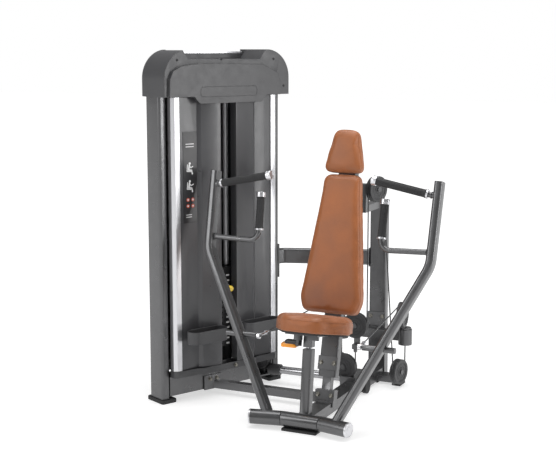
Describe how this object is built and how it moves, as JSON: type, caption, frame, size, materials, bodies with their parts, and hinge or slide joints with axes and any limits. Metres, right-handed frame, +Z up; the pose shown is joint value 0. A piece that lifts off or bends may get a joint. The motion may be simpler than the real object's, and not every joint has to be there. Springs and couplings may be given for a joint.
{
  "type": "chest press machine",
  "caption": "Seated chest press with an enclosed weight tower, converging press arms on a low pivot, adjustable padded seat, reclined backrest and headrest, linked by cables and pulleys.",
  "frame": {"origin": "on the floor under the middle of the pivot tube in front of the seat, on the bottom face of the front foot pad", "axes": "+X to the sitter's left, away from the weight tower; -Y is the way the sitter faces and presses; +Z up"},
  "size_m": [1.3707, 1.0118, 1.6],
  "materials": {
    "frame_paint": "satin metallic",
    "cover_plastic": "semi-gloss, dark grey",
    "shroud_plastic": "semi-gloss, smoked",
    "satin_aluminium": "satin anodised",
    "pad_leather": "soft grain",
    "black_rubber": "matte",
    "chrome_steel": "polished",
    "bright_steel": "brushed",
    "cable_jacket": "smooth jacket over wire",
    "pulley_plastic": "moulded",
    "stack_iron": "black coated",
    "knob_yellow": "gloss",
    "lever_orange": "gloss",
    "bolt_steel": "zinc, dark",
    "placard_print": "printed film",
    "bush_nylon": "nylon"
  },
  "bodies": {
    "frame": {"tower_front_upright": "frame_paint", "tower_rear_upright": "frame_paint", "tower_cross_beams": "frame_paint", "rubber_feet": "black_rubber", "guide_rods": "chrome_steel", "stack_buffers": "black_rubber", "weight_plates": "stack_iron", "shroud_left": "shroud_plastic", "shroud_right": "shroud_plastic", "trims": "satin_aluminium", "rear_shroud": "cover_plastic", "base_lip": "cover_plastic", "top_cap": "cover_plastic", "placard": "placard_print", "cup_trays": "cover_plastic", "strut": "frame_paint", "low_beam": "frame_paint", "cable_guard": "frame_paint", "seat_base": "frame_paint", "main_post": "frame_paint", "rear_post": "frame_paint", "rear_cross_beam": "frame_paint", "joint_plates": "frame_paint", "frame_bolts": "bolt_steel", "pulley_brackets": "frame_paint", "fixed_cables": "cable_jacket", "upright_leads": "cable_jacket", "pivot_bushes": "bush_nylon", "backrest": "pad_leather", "headrest": "pad_leather"},
    "weight_carriage": {"head_plate": "stack_iron", "lifted_plates": "stack_iron"},
    "selector_pin": {"selector_pin": "knob_yellow"},
    "floating_unit": {"floating_bracket": "frame_paint", "floating_cable": "cable_jacket"},
    "floating_pulley": {"floating_pulley": "pulley_plastic"},
    "turn_pulley": {"turn_pulley": "pulley_plastic"},
    "base_pulley": {"base_pulley": "pulley_plastic"},
    "head_pulley_rear": {"head_pulley_rear": "pulley_plastic"},
    "head_pulley_front": {"head_pulley_front": "pulley_plastic"},
    "top_pulley_right": {"top_pulley_right": "pulley_plastic"},
    "top_pulley_left": {"top_pulley_left": "pulley_plastic"},
    "low_pulley_right": {"low_pulley_right": "pulley_plastic"},
    "low_pulley_left": {"low_pulley_left": "pulley_plastic"},
    "guide_pulley_right": {"guide_pulley_right": "pulley_plastic"},
    "guide_pulley_left": {"guide_pulley_left": "pulley_plastic"},
    "right_arm": {"press_arm_right": "frame_paint", "hand_grips_right": "black_rubber", "arm_caps_right": "satin_aluminium"},
    "left_arm": {"press_arm_left": "frame_paint", "hand_grips_left": "black_rubber", "arm_caps_left": "satin_aluminium"},
    "right_clevis": {"cable_clevis_right": "chrome_steel"},
    "left_clevis": {"cable_clevis_left": "chrome_steel"},
    "right_lead": {"arm_lead_right": "cable_jacket"},
    "left_lead": {"arm_lead_left": "cable_jacket"},
    "seat": {"seat_pad": "pad_leather", "seat_carriage": "bright_steel"},
    "seat_lever": {"seat_lever": "lever_orange"}
  },
  "joints": [
    {"name": "right_arm_press", "type": "hinge", "parent": "frame", "child": "right_arm", "pos_m": [0.0914, 0, 0.045], "axis": [0.9781, -0.2079, 0], "range_deg": [0, 28]},
    {"name": "left_arm_press", "type": "hinge", "parent": "frame", "child": "left_arm", "pos_m": [-0.0914, 0, 0.045], "axis": [0.9781, 0.2079, 0], "range_deg": [0, 28]},
    {"name": "stack_lift", "type": "slide", "parent": "frame", "child": "weight_carriage", "axis": [0, 0, 1], "range_m": [0, 0.165], "deforming": ["upright_leads"]},
    {"name": "pin_pull", "type": "slide", "parent": "weight_carriage", "child": "selector_pin", "axis": [0.9014, -0.433, 0], "range_m": [0, 0.06]},
    {"name": "floating_rise", "type": "slide", "parent": "frame", "child": "floating_unit", "axis": [0, 0, 1], "range_m": [0, 0.165]},
    {"name": "right_lead_pull", "type": "slide", "parent": "frame", "child": "right_lead", "axis": [-0.2076, -0.9766, 0.0555], "range_m": [0, 0.17], "deforming": ["arm_lead_right"]},
    {"name": "left_lead_pull", "type": "slide", "parent": "frame", "child": "left_lead", "axis": [0.2076, -0.9766, 0.0555], "range_m": [0, 0.17], "deforming": ["arm_lead_left"]},
    {"name": "floating_pulley_spin", "type": "hinge", "parent": "floating_unit", "child": "floating_pulley", "pos_m": [0, 0.622, 0.328], "axis": [0, -1, 0], "continuous": true},
    {"name": "turn_pulley_spin", "type": "hinge", "parent": "frame", "child": "turn_pulley", "pos_m": [-0.056, 0.622, 0.124], "axis": [0, -1, 0], "range_deg": [0, 170]},
    {"name": "base_pulley_spin", "type": "hinge", "parent": "frame", "child": "base_pulley", "pos_m": [-0.49389, 0.622, 0.109], "axis": [0, -1, 0], "range_deg": [0, 232]},
    {"name": "head_pulley_rear_spin", "type": "hinge", "parent": "frame", "child": "head_pulley_rear", "pos_m": [-0.551, 0.5843, 1.49], "axis": [0.9195, -0.3932, 0], "range_deg": [-232, 0]},
    {"name": "head_pulley_front_spin", "type": "hinge", "parent": "frame", "child": "head_pulley_front", "pos_m": [-0.60857, 0.44967, 1.49], "axis": [0.9195, -0.3932, 0], "range_deg": [-232, 0]},
    {"name": "top_pulley_right_spin", "type": "hinge", "parent": "frame", "child": "top_pulley_right", "pos_m": [0.07515, 0.67462, 0.965], "axis": [0.9397, -0.342, 0], "range_deg": [-170, 0]},
    {"name": "low_pulley_right_spin", "type": "hinge", "parent": "frame", "child": "low_pulley_right", "pos_m": [0.152, 0.8, 0.078], "axis": [0.9781, -0.2079, 0], "range_deg": [0, 170]},
    {"name": "guide_pulley_right_spin", "type": "hinge", "parent": "frame", "child": "guide_pulley_right", "pos_m": [0.16782, 0.79893, 0.358], "axis": [0.9972, 0.0745, 0], "range_deg": [0, 170]},
    {"name": "right_clevis_pivot", "type": "hinge", "parent": "right_arm", "child": "right_clevis", "pos_m": [0.234, 0.074, 0.375], "axis": [1, 0, 0], "range_deg": [-40, 10]},
    {"name": "top_pulley_left_spin", "type": "hinge", "parent": "frame", "child": "top_pulley_left", "pos_m": [-0.07515, 0.67462, 0.965], "axis": [0.9397, 0.342, 0], "range_deg": [-170, 0]},
    {"name": "low_pulley_left_spin", "type": "hinge", "parent": "frame", "child": "low_pulley_left", "pos_m": [-0.152, 0.8, 0.078], "axis": [0.9781, 0.2079, 0], "range_deg": [0, 170]},
    {"name": "guide_pulley_left_spin", "type": "hinge", "parent": "frame", "child": "guide_pulley_left", "pos_m": [-0.16782, 0.79893, 0.358], "axis": [0.9972, -0.0745, 0], "range_deg": [0, 170]},
    {"name": "left_clevis_pivot", "type": "hinge", "parent": "left_arm", "child": "left_clevis", "pos_m": [-0.234, 0.074, 0.375], "axis": [1, 0, 0], "range_deg": [-40, 10]},
    {"name": "seat_height", "type": "slide", "parent": "frame", "child": "seat", "axis": [0, 0.1132, 0.9936], "range_m": [0, 0.15]},
    {"name": "seat_lever_lift", "type": "hinge", "parent": "seat", "child": "seat_lever", "pos_m": [-0.03, 0.03179, 0.36996], "axis": [0, 0.9816, -0.1908], "range_deg": [0, 12], "stiffness_Nm_per_rad": 0.6, "springref_deg": -8.59}
  ],
  "couplings": [
    {"joint": "left_arm_press", "follows": "right_arm_press", "ratio": 1},
    {"joint": "right_lead_pull", "follows": "right_arm_press", "m_per_rad": 0.34199},
    {"joint": "left_lead_pull", "follows": "right_arm_press", "m_per_rad": 0.34199},
    {"joint": "stack_lift", "follows": "right_arm_press", "m_per_rad": 0.333},
    {"joint": "floating_rise", "follows": "right_arm_press", "m_per_rad": 0.333},
    {"joint": "turn_pulley_spin", "follows": "right_arm_press", "ratio": 5.9464},
    {"joint": "base_pulley_spin", "follows": "right_arm_press", "ratio": 8.122},
    {"joint": "head_pulley_rear_spin", "follows": "right_arm_press", "ratio": -8.122},
    {"joint": "head_pulley_front_spin", "follows": "right_arm_press", "ratio": -8.122},
    {"joint": "top_pulley_right_spin", "follows": "right_arm_press", "ratio": -5.9464},
    {"joint": "low_pulley_right_spin", "follows": "right_arm_press", "ratio": 5.9464},
    {"joint": "guide_pulley_right_spin", "follows": "right_arm_press", "ratio": 5.9464},
    {"joint": "right_clevis_pivot", "follows": "right_arm_press", "ratio": -1},
    {"joint": "top_pulley_left_spin", "follows": "right_arm_press", "ratio": -5.9464},
    {"joint": "low_pulley_left_spin", "follows": "right_arm_press", "ratio": 5.9464},
    {"joint": "guide_pulley_left_spin", "follows": "right_arm_press", "ratio": 5.9464},
    {"joint": "left_clevis_pivot", "follows": "right_arm_press", "ratio": -1}
  ]
}
